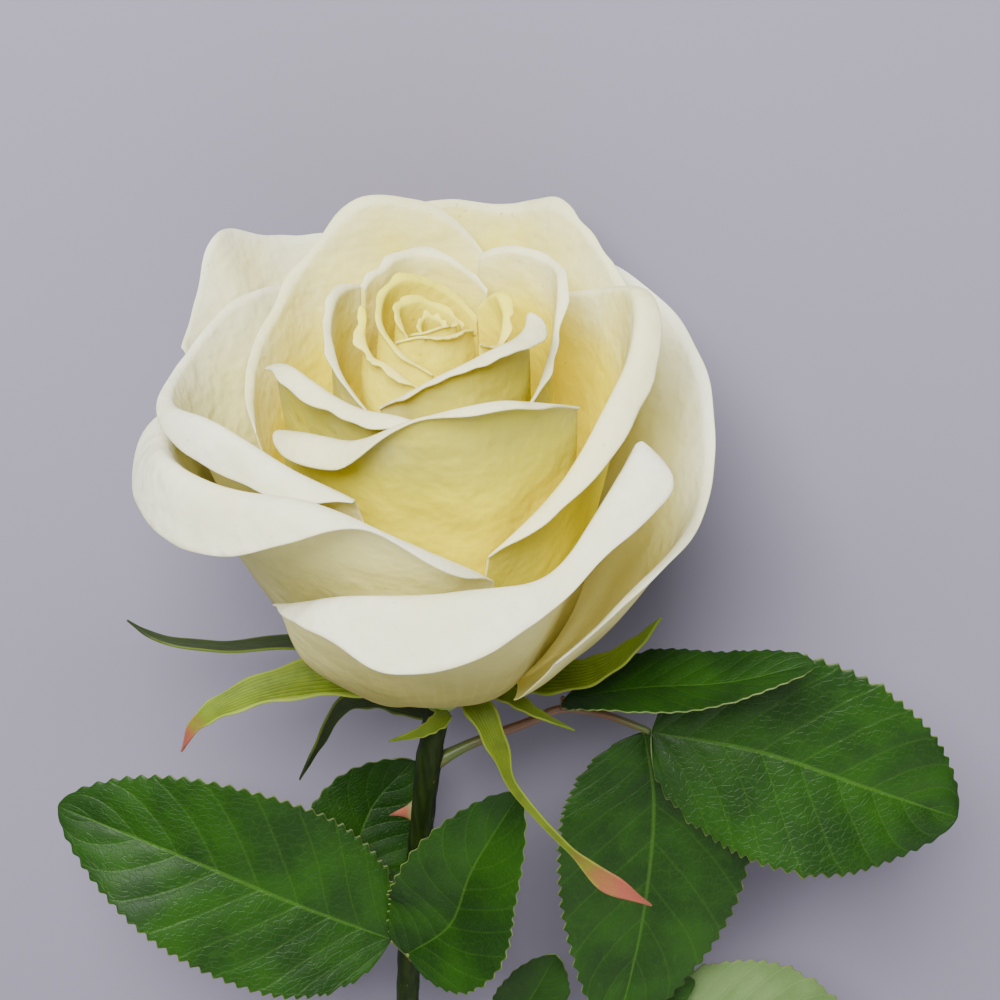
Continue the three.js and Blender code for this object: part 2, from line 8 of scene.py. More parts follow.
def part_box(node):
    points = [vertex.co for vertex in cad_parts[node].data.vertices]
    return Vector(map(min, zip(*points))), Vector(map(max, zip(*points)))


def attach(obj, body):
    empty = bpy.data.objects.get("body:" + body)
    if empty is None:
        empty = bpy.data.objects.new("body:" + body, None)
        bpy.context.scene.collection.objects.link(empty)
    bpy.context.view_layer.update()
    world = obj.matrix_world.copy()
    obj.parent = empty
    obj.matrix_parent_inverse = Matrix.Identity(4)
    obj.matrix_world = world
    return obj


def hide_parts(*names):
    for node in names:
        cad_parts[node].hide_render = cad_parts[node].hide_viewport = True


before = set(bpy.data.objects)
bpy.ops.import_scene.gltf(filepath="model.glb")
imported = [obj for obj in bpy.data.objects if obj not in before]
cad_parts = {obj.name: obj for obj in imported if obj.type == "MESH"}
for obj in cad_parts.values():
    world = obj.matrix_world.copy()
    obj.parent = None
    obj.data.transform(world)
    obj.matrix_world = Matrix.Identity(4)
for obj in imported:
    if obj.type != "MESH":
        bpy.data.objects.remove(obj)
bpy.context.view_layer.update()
print("frame loaded")

# The flower is made in millimetres in its own frame, as it grows: x to its right, y up the stem with 0 at
# the petal bases, z to its front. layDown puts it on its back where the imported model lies.
lieAngle = math.radians(8.24)
mm = 0.001


# ---- small helpers ----
def ease(t):
    t = np.clip(t, 0, 1)
    return t * t * (3 - 2 * t)


def across(values, u):
    # the smooth curve through evenly spaced values, at u from -1 to 1; a single value holds all over
    if np.ndim(values) == 0:
        return values + 0 * u
    v = np.array(values, float)
    spot = (u + 1) / 2 * (len(v) - 1)
    i = np.clip(spot.astype(int), 0, len(v) - 2)
    t = spot - i
    padded = np.concatenate([[3 * v[0] - 3 * v[1] + v[2]], v, [3 * v[-1] - 3 * v[-2] + v[-3]]])
    a, b, c, d = (padded[i + n] for n in range(4))
    return b + t / 2 * (c - a + t * (2 * a - 5 * b + 4 * c - d + t * (3 * (b - c) + d - a)))


def routePoint(route, share):
    # centripetal curve through the points of a route
    last = len(route) - 1
    spot = min(max(share, 0), 1) * last
    i = min(int(spot), last - 1)
    t = spot - i
    b, c = Vector(route[i]), Vector(route[i + 1])
    a = Vector(route[i - 1]) if i > 0 else 2 * b - c
    d = Vector(route[i + 2]) if i + 2 <= last else 2 * c - b
    ab, bc, cd = (max((q - p).length ** 0.5, 0.001) for p, q in ((a, b), (b, c), (c, d)))
    leave = ((b - a) / ab - (c - a) / (ab + bc) + (c - b) / bc) * bc
    arrive = ((c - b) / bc - (d - b) / (bc + cd) + (d - c) / cd) * bc
    return (b * (2 * t ** 3 - 3 * t ** 2 + 1) + c * (3 * t ** 2 - 2 * t ** 3)
            + leave * (t ** 3 - 2 * t ** 2 + t) + arrive * (t ** 3 - t ** 2))


def routeHeading(route, share):
    ahead, behind = min(share + 0.01, 1), max(share - 0.01, 0)
    return (routePoint(route, ahead) - routePoint(route, behind)).normalized()


def finishPiece(name, bm, layDown, materials, replaced, thick, smooth):
    # the one way that every piece of the flower becomes an object
    bmesh.ops.transform(bm, matrix=layDown, verts=bm.verts)
    mesh = bpy.data.meshes.new(name)
    bm.to_mesh(mesh)
    bm.free()
    piece = bpy.data.objects.new(name, mesh)
    bpy.context.scene.collection.objects.link(piece)
    for material in materials:
        mesh.materials.append(material)
    mesh.polygons.foreach_set("use_smooth", [True] * len(mesh.polygons))
    if thick:
        wall = piece.modifiers.new("wall", "SOLIDIFY")
        wall.thickness = thick * mm
        wall.offset = 0
        wall.use_even_offset = False
        wall.material_offset = 1
        wall.material_offset_rim = 1
    if smooth:
        rounding = piece.modifiers.new("round", "SUBSURF")
        rounding.levels = smooth
        rounding.render_levels = smooth
    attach(piece, "root")
    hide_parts(*replaced)


def gridSheet(columns, rows, spotOf):
    # a flat grid whose points go where spotOf says, with a uv map that runs across and along it
    bm = bmesh.new()
    bmesh.ops.create_grid(bm, x_segments=columns, y_segments=rows, size=1)
    flat = bm.loops.layers.uv.new("along")
    for face in bm.faces:
        for loop in face.loops:
            loop[flat].uv = ((loop.vert.co.x + 1) / 2, (loop.vert.co.y + 1) / 2)
    for vert in bm.verts:
        vert.co = spotOf(vert.co.x, (vert.co.y + 1) / 2)
    return bm


def growTube(bm, route, radiusAt, sides, rings):
    # a ring at the start of the route is extruded along it, ring by ring, and both ends are closed
    start, heading = routePoint(route, 0), routeHeading(route, 0)
    turn = Vector((0, 0, 1)).rotation_difference(heading).to_matrix().to_4x4()
    first = bmesh.ops.create_circle(bm, segments=sides, radius=radiusAt(0),
                                    matrix=Matrix.Translation(start) @ turn)
    edges = list({edge for vert in first["verts"] for edge in vert.link_edges})
    ends = list(edges)
    for n in range(1, rings + 1):
        share = n / rings
        grown = bmesh.ops.extrude_edge_only(bm, edges=edges)["geom"]
        verts = [item for item in grown if isinstance(item, bmesh.types.BMVert)]
        nextStart, nextHeading = routePoint(route, share), routeHeading(route, share)
        swing = heading.rotation_difference(nextHeading).to_matrix().to_4x4()
        size = Matrix.Scale(radiusAt(share) / radiusAt((n - 1) / rings), 4)
        move = Matrix.Translation(nextStart) @ swing @ size @ Matrix.Translation(-start)
        bmesh.ops.transform(bm, matrix=move, verts=verts)
        edges = [item for item in grown if isinstance(item, bmesh.types.BMEdge)
                 and all(vert in verts for vert in item.verts)]
        start, heading = nextStart, nextHeading
    bmesh.ops.holes_fill(bm, edges=ends + edges, sides=0)
    bmesh.ops.recalc_face_normals(bm, faces=bm.faces)


# ---- shader maths ----
class Wire:
    def __init__(self, paint, socket):
        self.paint = paint
        self.socket = socket

    def maths(self, operation, *others):
        values = dict(enumerate((self,) + others))
        return self.paint.node("ShaderNodeMath", {"operation": operation}, values)

    def __add__(self, other):
        return self.maths("ADD", other)

    def __sub__(self, other):
        return self.maths("SUBTRACT", other)

    def __mul__(self, other):
        return self.maths("MULTIPLY", other)

    def __pow__(self, other):
        return self.maths("POWER", other)

    def __rsub__(self, other):
        return self.paint.node("ShaderNodeMath", {"operation": "SUBTRACT"}, {0: other, 1: self})

    __radd__ = __add__
    __rmul__ = __mul__

    def rise(self, low, high):
        # 0 below low, 1 above high and smooth between
        inputs = {"Value": self, "From Min": low, "From Max": high}
        return self.paint.node("ShaderNodeMapRange", {"interpolation_type": "SMOOTHSTEP"}, inputs)


class Paint:
    def __init__(self, name):
        self.material = bpy.data.materials.new(name)
        self.material.use_nodes = True
        self.tree = self.material.node_tree
        self.shader = self.tree.nodes["Principled BSDF"]

    def node(self, kind, settings=None, inputs=None, output=0):
        made = self.tree.nodes.new(kind)
        for key, value in (settings or {}).items():
            setattr(made, key, value)
        for key, value in (inputs or {}).items():
            self.feed(made.inputs[key], value)
        return Wire(self, made.outputs[output])

    def feed(self, socket, value):
        if isinstance(value, Wire):
            self.tree.links.new(value.socket, socket)
        elif isinstance(value, (tuple, list)) and len(value) == 3 and socket.type == "RGBA":
            socket.default_value = (*value, 1)
        else:
            socket.default_value = value

    def shade(self, **inputs):
        for key, value in inputs.items():
            self.feed(self.shader.inputs[key.replace("_", " ")], value)
        return self.material

    def mix(self, factor, a, b):
        # 6 and 7 are the node's colour inputs, 2 its colour output
        settings = {"data_type": "RGBA", "clamp_factor": True}
        return self.node("ShaderNodeMix", settings, {0: factor, 6: a, 7: b}, 2)

    def uv(self):
        flat = self.node("ShaderNodeUVMap", {"uv_map": "along"})
        parts = [self.node("ShaderNodeSeparateXYZ", None, {0: flat}, n) for n in (0, 1)]
        return flat, parts[0], parts[1]

    def place(self):
        # output 3: the spot in the object's own frame
        return self.node("ShaderNodeTexCoord", None, None, 3)

    def noise(self, vector, scale, detail, rough=0.5):
        inputs = {"Vector": vector, "Scale": scale, "Detail": detail, "Roughness": rough}
        return self.node("ShaderNodeTexNoise", None, inputs)

    def stretched(self, vector, factors):
        return self.node("ShaderNodeVectorMath", {"operation": "MULTIPLY"}, {0: vector, 1: factors})

    def bump(self, height, distance, strength):
        inputs = {"Strength": strength, "Distance": distance, "Height": height}
        return self.node("ShaderNodeBump", None, inputs)


# ---- camera ----
view = {"pitch": 35, "distance": 350, "lens": 73.96, "sensor": 36, "bloomMiddle": 36,
        "aimRight": 10.7, "aimUp": 26.4}


def addCamera(layDown):
    pitch = math.radians(view["pitch"])
    right = Vector((1, 0, 0))
    up = Vector((0, math.cos(pitch), -math.sin(pitch)))
    back = Vector((0, math.sin(pitch), math.cos(pitch)))
    depth = view["bloomMiddle"] * math.sin(pitch) + view["distance"]
    spot = right * view["aimRight"] + up * view["aimUp"] + back * depth
    data = bpy.data.cameras.new("camera")
    data.lens = view["lens"]
    data.sensor_width = view["sensor"]
    data.clip_start = 0.01
    camera = bpy.data.objects.new("camera", data)
    turned = Matrix((right, up, back)).transposed()
    facing = (layDown.to_3x3().normalized() @ turned).to_4x4()
    camera.matrix_world = Matrix.Translation(layDown @ spot) @ facing
    bpy.context.scene.collection.objects.link(camera)
    bpy.context.scene.camera = camera


# ---- hip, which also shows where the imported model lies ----
hip = {"bottom": -14, "stemRadius": 2.5, "side": [(3.6, -12.4), (5.3, -9.8), (6.1, -7), (5.9, -4.6)],
       "inside": 0.95, "domeRise": 0.5, "steps": 48}
petalBase = {"radius": 1.4, "height": 9, "radiusStep": 0.22, "heightStep": -0.55, "rise": 0.5,
             "spread": 0.34, "fullSpreadAt": 0.55, "rimSpread": 0.94, "rimSpreadFrom": 0.7}


def baseOf(index):
    return (petalBase["radius"] + petalBase["radiusStep"] * index,
            petalBase["height"] + petalBase["heightStep"] * index)


def hipMesh(count):
    # the dome on top carries the petal bases and ends just inside them
    outer, inner = baseOf(count - 1), baseOf(0)
    profile = [(0, hip["bottom"]), (hip["stemRadius"], hip["bottom"]), *hip["side"],
               (outer[0] - hip["inside"], outer[1]), (inner[0] - hip["inside"], inner[1]),
               (0, inner[1] + hip["domeRise"])]
    bm = bmesh.new()
    verts = [bm.verts.new((0, height, radius)) for radius, height in profile]
    edges = [bm.edges.new(pair) for pair in zip(verts, verts[1:])]
    bmesh.ops.spin(bm, geom=verts + edges, cent=(0, 0, 0), axis=(0, 1, 0), angle=2 * math.pi,
                   steps=hip["steps"], use_merge=True)
    bmesh.ops.remove_doubles(bm, verts=bm.verts, dist=0.001)
    bmesh.ops.recalc_face_normals(bm, faces=bm.faces)
    return bm


def layDownMatrix(count):
    turned = Matrix.Rotation(lieAngle, 4, "X")
    bm = hipMesh(count)
    spots = [turned @ vert.co for vert in bm.verts]
    bm.free()
    low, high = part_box("hip")
    middle = [(min(s[n] for s in spots) + max(s[n] for s in spots)) / 2 for n in range(3)]
    shift = [(low[n] + high[n]) / 2 - mm * middle[n] for n in range(3)]
    return Matrix.Translation(shift) @ turned @ Matrix.Scale(mm, 4)


# ---- petals ----
# Innermost first. turn and half: degrees round the stem, the middle of the petal and half its width. Lists
# run evenly spaced from the low-angle side to the high-angle side: radius and height of the fold, length of
# the lip that rolls out beyond it. lean: the body's angle at the fold. lipTurn: the angle that the lip turns
# to, roll: how slowly. belly: how bowl-like the body is.
petals = [
    dict(turn=200, half=140, lean=-14, belly=2.2, lipTurn=60, roll=0.6,
         radius=(1.6, 2, 2.2), height=(64, 67, 64), lip=(0.5, 0.8, 0.5)),
    dict(turn=20, half=115, lean=-12, belly=1.9, lipTurn=80, roll=0.6,
         radius=(3, 3.2, 3.4), height=(64, 67.5, 65), lip=(0.6, 1, 0.6)),
    dict(turn=-140, half=105, lean=-10, belly=1.7, lipTurn=95, roll=0.7,
         radius=(4.4, 4.2, 3.8, 4.2, 4.8), height=(64.5, 67, 69, 69.5, 66.5), lip=(0.8, 1.4, 0.8)),
    dict(turn=22, half=70, lean=-6, belly=1.5, lipTurn=105, roll=0.9,
         radius=(4.8, 5, 5.5, 5.6, 6.2), height=(66.5, 68, 67.5, 67, 64.5), lip=(0.8, 1.2, 1.8, 1.4, 1)),
    dict(turn=88, half=52, lean=-4, belly=1.4, lipTurn=120, roll=1,
         radius=(11.5, 11.5, 11.5, 10.5, 10), height=(68, 66, 68, 69.5, 65), lip=(1, 1.4, 2.2, 2.4, 1.2)),
    dict(turn=-108, half=116, lean=-5, belly=1.3, lipTurn=115, roll=1,
         radius=(9, 8.5, 7.6, 7, 6.8, 7, 7.6), height=(61.5, 68.5, 71, 71.5, 70.5, 67, 62.5),
         lip=(1.2, 2, 1.6, 1.4, 1.8, 2, 1.6)),
    dict(turn=-55, half=48, lean=-4, belly=1.2, lipTurn=125, roll=1,
         radius=(11.5, 10.2, 9.4, 9.4, 10.5), height=(68.5, 66, 65, 64, 62), lip=(1.2, 2, 1.6, 2.2, 1.2)),
    dict(turn=22, half=62, lean=-2, belly=1.15, lipTurn=130, roll=1.4,
         radius=(13, 14.5, 16, 16.5, 15), height=(57, 64, 68.5, 69.5, 70), lip=(1.2, 2.4, 2.8, 4, 5.5)),
    dict(turn=194, half=56, lean=0, belly=1.15, lipTurn=110, roll=1.2,
         radius=(11, 13.5, 14.5, 12.5, 12.5), height=(66.5, 70, 71.5, 72, 69.5),
         lip=(1.2, 1.6, 2.2, 1.6, 1.2)),
    dict(turn=-80, half=54, lean=0, belly=1.1, lipTurn=110, roll=1.2,
         radius=(16, 17, 17.6), height=(68, 67, 57), lip=(1, 1.6, 1.2)),
    dict(turn=105, half=58, lean=2, belly=1.05, lipTurn=110, roll=1.3,
         radius=(17, 18, 19.5, 20.5, 22.5, 21, 20.5), height=(57, 60, 64.5, 69.5, 70.5, 71, 68.5),
         lip=(1, 1.5, 1.8, 2.2, 1.5, 1.8, 3)),
    dict(turn=-42, half=50, lean=4, belly=0.95, lipTurn=145, roll=1.6,
         radius=(26, 23.5, 22, 23, 24), height=(58.5, 64, 62.5, 63.5, 61), lip=(3, 4.5, 4, 3.5, 3)),
    dict(turn=-5, half=67, lean=3, belly=0.9, lipTurn=(145, 150, 145, 140, 140, 140, 140), roll=1.9,
         radius=(27, 26, 25, 26.5, 29, 27.5, 27), height=(53, 56.5, 59, 65.5, 69, 64.5, 59.5),
         lip=(3.5, 7, 6, 1.8, 3.4, 3.2, 1.8)),
    dict(turn=-140, half=58, lean=14, belly=0.8, lipTurn=110, roll=2.2,
         radius=(34, 35, 35.5, 36.5, 34, 31.5, 29.5), height=(60.5, 68.5, 71, 61.5, 55.5, 51, 47.5),
         lip=(1.5, 2, 2.5, 2, 2, 1.8, 1.6)),
    dict(turn=76, half=64, lean=8, belly=0.82, lipTurn=145, roll=2,
         radius=(31, 30, 30.5, 31.5, 32.5, 31, 30), height=(41.5, 49, 56.5, 62.5, 69, 65, 59.5),
         lip=(1.5, 4, 6, 6.5, 4.5, 2.5, 1.5)),
    dict(turn=150, half=44, lean=16, belly=0.75, lipTurn=110, roll=2.4,
         radius=(36, 36, 37.5, 39.5, 41.5, 39, 37), height=(59, 64, 67, 70, 66, 68, 66),
         lip=(2, 2.4, 2, 2.6, 2.4, 2, 2)),
    dict(turn=-82, half=66, lean=22, belly=0.68, lipTurn=(120, 120, 120, 150, 160, 160, 160), roll=1.8,
         radius=(40, 40.5, 42.5, 42.5, 38, 34, 33), height=(54.5, 58, 54, 56, 59, 56, 53.5),
         lip=(1.5, 1.5, 1.5, 3, 8.5, 6.5, 3)),
    dict(turn=-42, half=62, lean=22, belly=0.7, lipTurn=(145, 160, 165, 160, 155, 145, 140),
         roll=(4.4, 3, 2.4, 2.6, 2.6, 2.4, 2.2),
         radius=(43.5, 43, 41.5, 40, 40, 38, 35), height=(45, 49.5, 54, 55, 56, 50.5, 40),
         lip=(3, 8, 12, 13, 13, 9, 2, 4, 2.5)),
    dict(turn=8, half=60, lean=22, belly=0.68, lipTurn=(150, 150, 145, 140, 140, 135, 140),
         roll=(2.2, 2.6, 2.6, 2.6, 2.4, 2.6, 4.5),
         radius=(34.5, 36, 37.5, 38, 39, 36.5, 35.5), height=(27.5, 35, 39.5, 41.5, 42.5, 49, 53.5),
         lip=(0.8, 5, 9.5, 14.5, 13.5, 7.5, 6, 9, 18)),
    dict(turn=90, half=60, lean=28, belly=0.66, lipTurn=105, roll=2.6,
         radius=(34, 39.5, 44, 45.5, 45.5, 44, 42), height=(19.5, 29.5, 35, 41.5, 51, 56.5, 59.5),
         lip=(1.5, 2.5, 2.6, 2.4, 2.4, 2, 2)),
    dict(turn=-138, half=31, lean=30, belly=0.62, lipTurn=95, roll=2.6,
         radius=(45, 47, 48.5, 49, 48.5, 47, 45), height=(60, 59.5, 60.5, 62, 65.5, 58, 53.5),
         lip=(1.5, 1.6, 1.8, 2, 1.6, 1.2, 1)),
    dict(turn=178, half=50, lean=32, belly=0.62, lipTurn=120, roll=2.6,
         radius=(42, 43, 44.5, 43, 42), height=(46, 53, 56, 52, 48), lip=(2, 3, 4, 3, 2)),
]
petalMake = {"gap": 1.3, "thick": 0.42, "across": 28, "body": 24, "lip": 8, "lipSteps": 6, "lipLeast": 1,
             "cornerRound": 14, "ripple": 0.2, "rippleStep": 0.035, "wobble": 0.4, "nick": 1.1,
             "mapStep": 3, "mapTop": 84, "baseHeld": 0.06, "baseFade": 0.25, "pushWiden": (3, 2),
             "pushSoften": (8, 5), "heartUpTo": 7, "innerUpTo": 16}


def petalSurface(petal, index):
    # angles, radii and heights: rows of the body from the base up to the fold, then rows of the lip
    u = np.linspace(-1, 1, petalMake["across"] + 1)
    ripple = petalMake["ripple"] + petalMake["rippleStep"] * index
    topHeight = across(petal["height"], u) + ripple * (
        0.6 * np.sin(5.1 * u + 1.9 * index) + 0.4 * np.sin(9.3 * u + 0.7 * index))
    topRadius = across(petal["radius"], u) + 0.6 * ripple * np.sin(4.3 * u + 1.3 * index)
    lean, lipTurn = (np.radians(across(petal[key], u)) for key in ("lean", "lipTurn"))
    roll = across(petal["roll"], u)
    corner = 1 - np.abs(u) ** petalMake["cornerRound"]
    lip = np.maximum(petalMake["lipLeast"], across(petal["lip"], u) * corner)
    base = baseOf(index)
    back = 0.5 * (topHeight - base[1])
    angles, radii, heights = [], [], []
    for v in np.linspace(0, 1, petalMake["body"] + 1):
        shares = ((1 - v) ** 3, 3 * v * (1 - v) ** 2, 3 * v * v * (1 - v), v ** 3)
        along = (base[0], petal["belly"] * topRadius, topRadius - back * np.sin(lean), topRadius)
        up = (base[1], base[1] + petalBase["rise"], topHeight - back * np.cos(lean), topHeight)
        radii.append(sum(share * value for share, value in zip(shares, along)))
        heights.append(sum(share * value for share, value in zip(shares, up)))
        spread = petalBase["spread"] + (1 - petalBase["spread"]) * ease(v / petalBase["fullSpreadAt"])
        toRim = ease((v - petalBase["rimSpreadFrom"]) / (1 - petalBase["rimSpreadFrom"]))
        spread *= 1 - (1 - petalBase["rimSpread"]) * toRim
        angles.append(petal["turn"] + u * petal["half"] * spread)
    radius, height = radii[-1].copy(), heights[-1].copy()
    steps = petalMake["lipSteps"]
    for n in range(petalMake["lip"] * steps):
        out = (n + 0.5) / steps / petalMake["lip"] * lip
        slope = lean + (lipTurn - lean) * (1 - np.exp(-out / roll))
        radius = radius + np.sin(slope) * lip / petalMake["lip"] / steps
        height = height + np.cos(slope) * lip / petalMake["lip"] / steps
        if (n + 1) % steps == 0:
            radii.append(radius)
            heights.append(height)
            angles.append(petal["turn"] + u * petal["half"] * petalBase["rimSpread"])
    return np.array(angles), np.array(radii), np.array(heights)


def neighbours(grid, axis, wrap=False):
    before, after = np.roll(grid, 1, axis), np.roll(grid, -1, axis)
    if not wrap:
        edge = [slice(None), slice(None)]
        edge[axis] = slice(0, 1)
        before[tuple(edge)] = grid[tuple(edge)]
        edge[axis] = slice(-1, None)
        after[tuple(edge)] = grid[tuple(edge)]
    return before, after


def widened(grid, times, axis, wrap=False):
    for _ in range(times):
        before, after = neighbours(grid, axis, wrap)
        grid = np.maximum(grid, np.maximum(before, after))
    return grid


def softened(grid, times, axis):
    for _ in range(times):
        before, after = neighbours(grid, axis)
        grid = (before + 2 * grid + after) / 4
    return grid


def takenAt(taken, angles, heights):
    turn = angles / petalMake["mapStep"]
    level = np.clip(heights, 0, petalMake["mapTop"] - 1.001)
    left, low = np.floor(turn).astype(int), np.floor(level).astype(int)
    sideways, upwards = turn - left, level - low
    count = taken.shape[0]
    a, b = left % count, (left + 1) % count
    lower = taken[a, low] * (1 - sideways) + taken[b, low] * sideways
    upper = taken[a, low + 1] * (1 - sideways) + taken[b, low + 1] * sideways
    return lower * (1 - upwards) + upper * upwards


def between(grid, parts=4):
    # the grid with more points between its own
    rows = np.linspace(0, grid.shape[0] - 1, (grid.shape[0] - 1) * parts + 1)
    columns = np.linspace(0, grid.shape[1] - 1, (grid.shape[1] - 1) * parts + 1)
    j = np.minimum(rows.astype(int), grid.shape[0] - 2)
    k = np.minimum(columns.astype(int), grid.shape[1] - 2)
    up, right = (rows - j)[:, None], (columns - k)[None, :]
    return ((grid[j][:, k] * (1 - right) + grid[j][:, k + 1] * right) * (1 - up)
            + (grid[j + 1][:, k] * (1 - right) + grid[j + 1][:, k + 1] * right) * up)


def packPetals():
    # each petal is pushed outwards, smoothly and with its base in place, until it clears the ones inside it
    taken = np.zeros((360 // petalMake["mapStep"], petalMake["mapTop"]))
    bodyRows = petalMake["body"] + 1
    fade = ease((np.linspace(0, 1, bodyRows) - petalMake["baseHeld"]) / petalMake["baseFade"])[:, None]
    widenUp, widenAcross = petalMake["pushWiden"]
    softenUp, softenAcross = petalMake["pushSoften"]
    surfaces = []
    for index, petal in enumerate(petals):
        angles, radii, heights = petalSurface(petal, index)
        need = takenAt(taken, angles[:bodyRows], heights[:bodyRows])
        push = np.where(need > 0, np.maximum(0, need + petalMake["gap"] - radii[:bodyRows]), 0)
        push = widened(widened(push, widenUp, 0), widenAcross, 1)
        push = softened(softened(push, softenUp, 0), softenAcross, 1)
        radii[:bodyRows] += push * fade
        radii[bodyRows:] += push[-1]
        cells = np.round(between(angles) / petalMake["mapStep"]).astype(int) % taken.shape[0]
        levels = np.clip(np.round(between(heights)).astype(int), 0, petalMake["mapTop"] - 1)
        marks = np.zeros(taken.shape)
        np.maximum.at(marks, (cells.ravel(), levels.ravel()), between(radii).ravel())
        taken = np.maximum(taken, widened(widened(marks, 1, 0, wrap=True), 1, 1))
        surfaces.append((angles, radii, heights))
    return surfaces


def petalGroup(index):
    if index < petalMake["heartUpTo"]:
        return "heart"
    return "inner" if index < petalMake["innerUpTo"] else "outer"


def addPetals(layDown, paints):
    columns, rows, fold = petalMake["across"], petalMake["body"] + petalMake["lip"], petalMake["body"]
    for index, (angles, radii, heights) in enumerate(packPetals()):
        def gridPoint(k, j):
            angle, radius = math.radians(angles[j, k]), radii[j, k]
            return Vector((radius * math.sin(angle), heights[j, k], radius * math.cos(angle)))

        def spotOf(x, v):
            k, j = round((x + 1) / 2 * columns), round(v * rows)
            spot, angle = gridPoint(k, j), math.radians(angles[j, k])
            # the margin is nicked and wavy, and the whole petal is softly uneven
            nick = noise.noise(Vector((x * 5.5, 3.7 * index, 0)))
            nick += 0.5 * noise.noise(Vector((x * 14, 5.1 * index, 4)))
            onward = (spot - gridPoint(k, j - 1)).normalized() if j > fold else Vector()
            spot += onward * petalMake["nick"] * nick * max(0, j - fold) / petalMake["lip"]
            wobble = petalMake["wobble"] * ease(v / 0.4) * min(1, index / 8)
            uneven = noise.noise(spot * 0.09 + Vector((0, 0, 7 * index))) + 0.4 * noise.noise(spot * 0.23)
            return spot + Vector((math.sin(angle), 0, math.cos(angle))) * wobble * uneven

        group = petalGroup(index)
        name = f"petal_{index + 1:02d}"
        finishPiece(f"{name}_body", gridSheet(columns, rows, spotOf), layDown, paints[group],
                    [name], petalMake["thick"], 2 if group == "outer" else 1)


petalLooks = {
    # colours run from the base over the middle to the rim, for the outer face and the inner face; the rises
    # say where along the petal the middle and the rim colours come in
    "heart": {"out": ((0.84, 0.60, 0.0), (0.88, 0.70, 0.0), (0.84, 0.73, 0.03)),
              "in": ((0.88, 0.64, 0.0), (0.90, 0.73, 0.0), (0.90, 0.80, 0.07)),
              "outRises": (0.2, 0.5, 0.6, 0.75)},
    # inner: the dark olive rim colour of the outer face is painted shade where the lips above shade it,
    # brought in from just below the middle by its rises
    "inner": {"out": ((0.82, 0.72, 0.20), (0.91, 0.76, 0.0), (0.50, 0.46, 0.06)),
              "in": ((0.88, 0.64, 0.0), (0.91, 0.76, 0.01), (0.85, 0.82, 0.46)),
              "outRises": (0.2, 0.5, 0.48, 0.75)},
    # outer: the outer face's rim colour, a little darker than its middle, is painted shade beneath the lips;
    # its dark base is partly the petal's own green-brown base and partly painted shade under the bloom
    "outer": {"out": ((0.34, 0.30, 0.08), (0.80, 0.74, 0.29), (0.72, 0.68, 0.34)),
              "in": ((0.88, 0.79, 0.26), (0.88, 0.82, 0.33), (0.83, 0.815, 0.60)),
              "outRises": (0.3, 0.68, 0.66, 0.77)},
}
inRises = (0.2, 0.55, 0.6, 0.82)


def petalPaint(group, side):
    paint = Paint(f"petal_{group}_{side}")
    base, middle, rim = petalLooks[group][side]
    flat, u, v = paint.uv()
    spot = paint.place()
    cloud = paint.noise(spot, 55, 3)
    run = v + (cloud - 0.5) * 0.22
    rises = petalLooks[group]["outRises"] if side == "out" else inRises
    colour = paint.mix(run.rise(*rises[:2]), base, middle)
    colour = paint.mix(run.rise(*rises[2:]), colour, rim)
    shade = paint.noise(spot, 38, 4, 0.55).rise(0.42, 0.68)
    shaded = (rim[0] * 0.85, rim[1] * 0.85, 0.36)
    colour = paint.mix(shade * run.rise(0.66, 0.84) * 0.5, colour, shaded)
    drift = paint.noise(paint.stretched(flat, (7, 2.2, 0)), 1.6, 3)
    veins = ((u * 150 + drift * 16).maths("SINE") * 0.5 + 0.5) ** 5
    colour = paint.mix(veins * 0.07, colour, tuple(channel * 0.86 for channel in middle))
    bruise = paint.noise(spot, 95, 4).rise(0.60, 0.74)
    colour = paint.mix(bruise * v.rise(0.7, 0.98) * 0.35, colour, (0.60, 0.50, 0.28))
    speckDots = paint.node("ShaderNodeTexVoronoi", None, {"Vector": spot, "Scale": 420})
    speckWhere = paint.noise(spot, 60, 2).rise(0.5, 0.66)
    specks = (1 - speckDots.rise(0.05, 0.16)) * speckWhere * v.rise(0.45, 0.8)
    colour = paint.mix(specks * 0.45, colour, (0.42, 0.30, 0.12))
    edgeTint = v.rise(0.975, 1.0) * paint.noise(spot, 140, 2).rise(0.42, 0.6)
    colour = paint.mix(edgeTint * 0.35, colour, (0.50, 0.44, 0.20))
    grain = paint.noise(spot, 1500, 2)
    crumple = paint.noise(spot, 85, 3, 0.55)
    creases = paint.noise(spot, 300, 3)
    relief = crumple + creases * 0.16 + veins * 0.008 + grain * 0.02
    return paint.shade(Base_Color=colour, Roughness=0.62, Specular_IOR_Level=0.15, Subsurface_Weight=0.25,
                       Subsurface_Radius=(1.0, 0.8, 0.3), Subsurface_Scale=0.002,
                       Normal=paint.bump(relief, 0.0024, 0.6))


